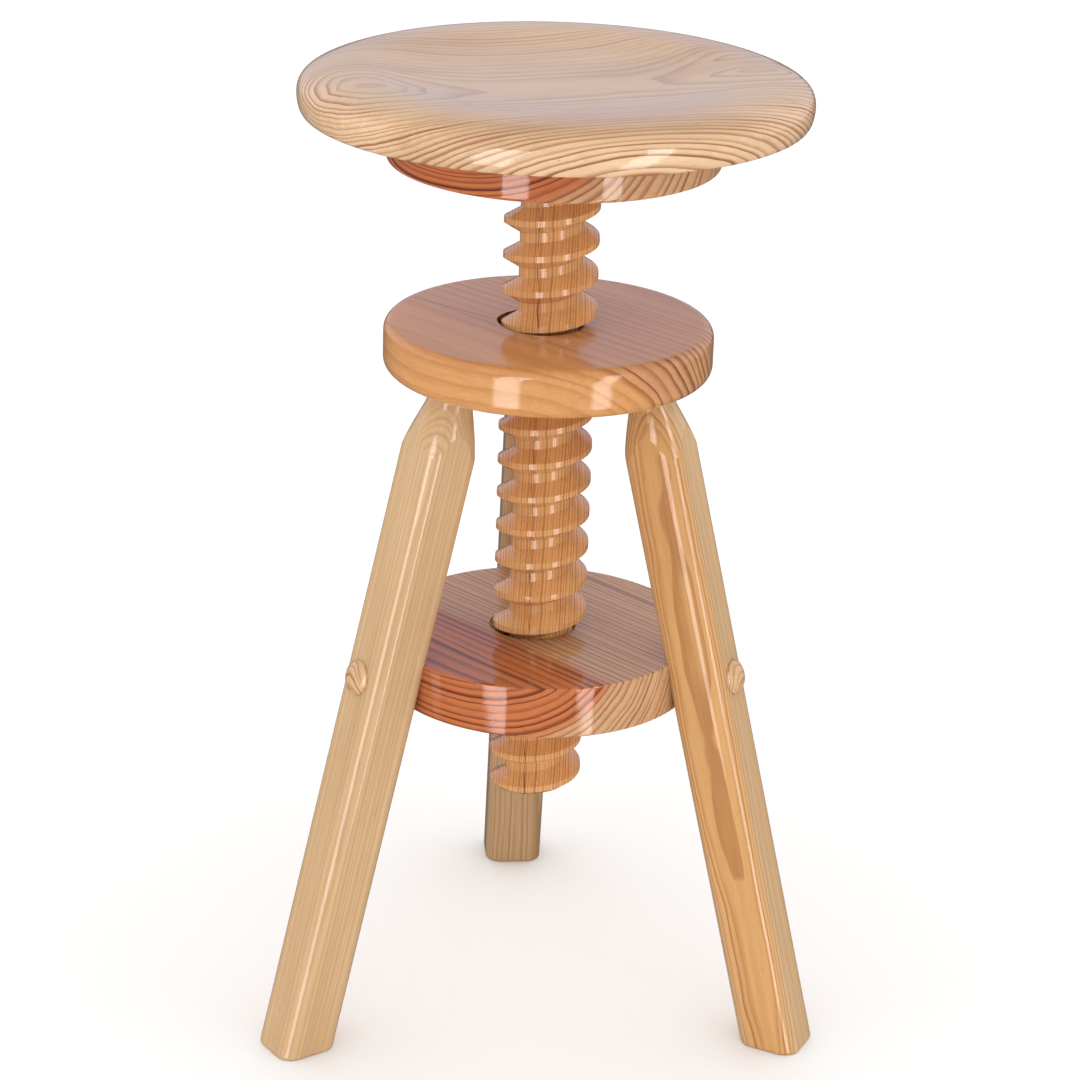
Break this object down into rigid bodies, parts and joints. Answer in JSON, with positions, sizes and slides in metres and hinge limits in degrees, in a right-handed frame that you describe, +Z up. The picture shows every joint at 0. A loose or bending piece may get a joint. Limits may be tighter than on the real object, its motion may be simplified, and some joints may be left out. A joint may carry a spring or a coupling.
{
  "type": "adjustable swivel stool",
  "caption": "Pine stool with a round dished seat on a coarse wooden screw that winds up and down through two threaded discs on splayed legs.",
  "frame": {"origin": "on the floor, on the axis of the wooden screw", "axes": "+Z up along the screw; +Y towards the back leg; the other two legs stand 120 degrees to each side of it"},
  "size_m": [0.3651, 0.364, 0.632],
  "materials": {
    "seat_pine": "clear gloss varnish on pale pine",
    "collar_pine": "clear gloss varnish on edge-glued pine",
    "spindle_pine": "clear varnish on turned and threaded pine",
    "upper_disc_pine": "clear gloss varnish on edge-glued pine",
    "lower_disc_pine": "clear gloss varnish on edge-glued pine",
    "leg_pine": "clear gloss varnish on straight-grained pine",
    "plug_pine": "clear gloss varnish on turned pine",
    "zinc_steel": "bright zinc plate on steel"
  },
  "bodies": {
    "base": {"upper_disc": "upper_disc_pine", "lower_disc": "lower_disc_pine", "leg_back": "leg_pine", "leg_left": "leg_pine", "leg_right": "leg_pine", "leg_screw_back": "zinc_steel", "leg_screw_left": "zinc_steel", "leg_screw_right": "zinc_steel", "plug_back": "plug_pine", "plug_left": "plug_pine", "plug_right": "plug_pine"},
    "riser": {"coach_screw": "zinc_steel", "coach_washer": "zinc_steel"},
    "seat_unit": {"seat": "seat_pine", "seat_collar": "collar_pine", "spindle": "spindle_pine", "collar_screw_1": "zinc_steel", "collar_screw_2": "zinc_steel", "collar_screw_3": "zinc_steel", "collar_screw_4": "zinc_steel"}
  },
  "joints": [
    {"name": "lift", "type": "slide", "parent": "base", "child": "riser", "axis": [0, 0, 1], "range_m": [-0.1045, 0.0795]},
    {"name": "swivel", "type": "hinge", "parent": "riser", "child": "seat_unit", "pos_m": [0, 0, 0.5], "axis": [0, 0, 1], "range_deg": [-1642.11, 1247.37]}
  ],
  "couplings": [
    {"joint": "lift", "follows": "swivel", "m_per_rad": 0.0036287}
  ]
}
